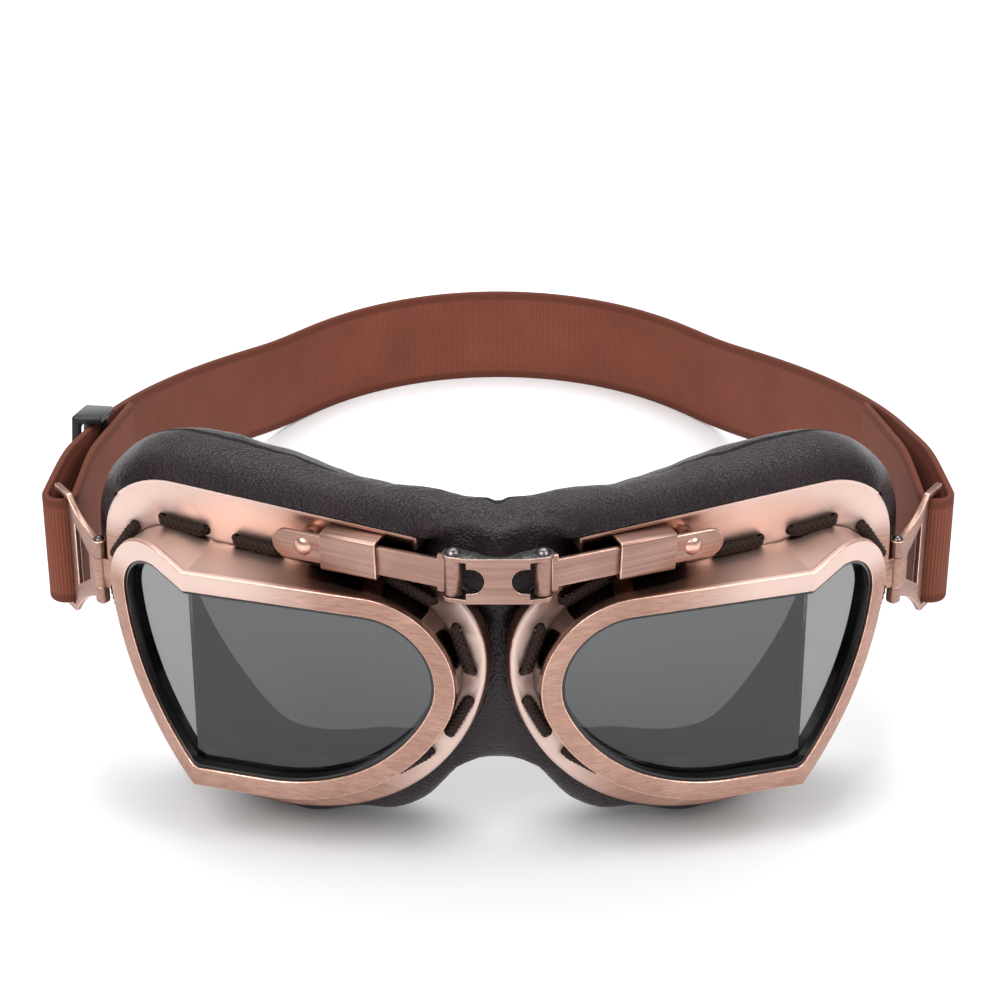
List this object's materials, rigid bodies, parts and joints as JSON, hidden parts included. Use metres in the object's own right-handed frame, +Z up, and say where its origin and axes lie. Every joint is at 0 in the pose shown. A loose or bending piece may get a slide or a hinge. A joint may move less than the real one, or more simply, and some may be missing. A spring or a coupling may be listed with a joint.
{
  "type": "steampunk goggles",
  "caption": "Aviator style goggles: two hinged metal cups with bent smoke panes, laced flanges, leather face pads, swinging temple buckles and a woven elastic head strap with a slider.",
  "frame": {"origin": "on the floor, under the middle of the box round the whole", "axes": "+X to the wearer's left, +Y back to the head, +Z up"},
  "size_m": [0.2208, 0.2616, 0.0956],
  "materials": {
    "copper": "brushed antique copper plate",
    "dark_metal": "dark oxidised, domed heads",
    "smoke_lens": "smoke grey, polished",
    "gasket": "black, satin",
    "leather": "dark brown, pebbled",
    "foam": "open foam, inside the cover",
    "lace": "dark brown braid",
    "elastic": "red brown woven elastic",
    "black_plastic": "moulded black"
  },
  "bodies": {
    "bridge": {"bridge_link": "copper", "bridge_pins": "dark_metal", "nose_pad": "leather", "head_strap": "elastic"},
    "left_cup": {"left_flange": "copper", "left_housing": "copper", "left_gasket": "gasket", "left_front_lens": "smoke_lens", "left_side_lens": "smoke_lens", "left_bridge_arm": "copper", "left_arm_keeper": "copper", "left_arm_stud": "copper", "left_lace": "lace", "left_eye_pad": "leather", "left_pad_foam": "foam", "left_buckle_pin": "dark_metal"},
    "left_buckle": {"left_buckle": "copper"},
    "right_cup": {"right_flange": "copper", "right_housing": "copper", "right_gasket": "gasket", "right_front_lens": "smoke_lens", "right_side_lens": "smoke_lens", "right_bridge_arm": "copper", "right_arm_keeper": "copper", "right_arm_stud": "copper", "right_lace": "lace", "right_eye_pad": "leather", "right_pad_foam": "foam", "right_buckle_pin": "dark_metal"},
    "right_buckle": {"right_buckle": "copper"},
    "strap_slider_body": {"strap_slider": "black_plastic"}
  },
  "joints": [
    {"name": "left_bridge_hinge", "type": "hinge", "parent": "bridge", "child": "left_cup", "pos_m": [0.01, -0.1276, 0.0853], "axis": [0, 0, 1], "range_deg": [-10, 15], "deforming": ["nose_pad", "head_strap"]},
    {"name": "right_bridge_hinge", "type": "hinge", "parent": "bridge", "child": "right_cup", "pos_m": [-0.01, -0.1276, 0.0853], "axis": [0, 0, -1], "range_deg": [-10, 15], "deforming": ["nose_pad", "head_strap"]},
    {"name": "left_buckle_hinge", "type": "hinge", "parent": "left_cup", "child": "left_buckle", "pos_m": [0.09494, -0.08292, 0.0595], "axis": [0, 0, 1], "range_deg": [-35, 12], "deforming": ["head_strap"]},
    {"name": "right_buckle_hinge", "type": "hinge", "parent": "right_cup", "child": "right_buckle", "pos_m": [-0.09494, -0.08292, 0.0595], "axis": [0, 0, -1], "range_deg": [-35, 12], "deforming": ["head_strap"]},
    {"name": "slider_travel", "type": "slide", "parent": "right_cup", "child": "strap_slider_body", "axis": [-0.1037, -0.9529, 0.2849], "range_m": [-0.005, 0.03], "deforming": ["head_strap"]}
  ]
}
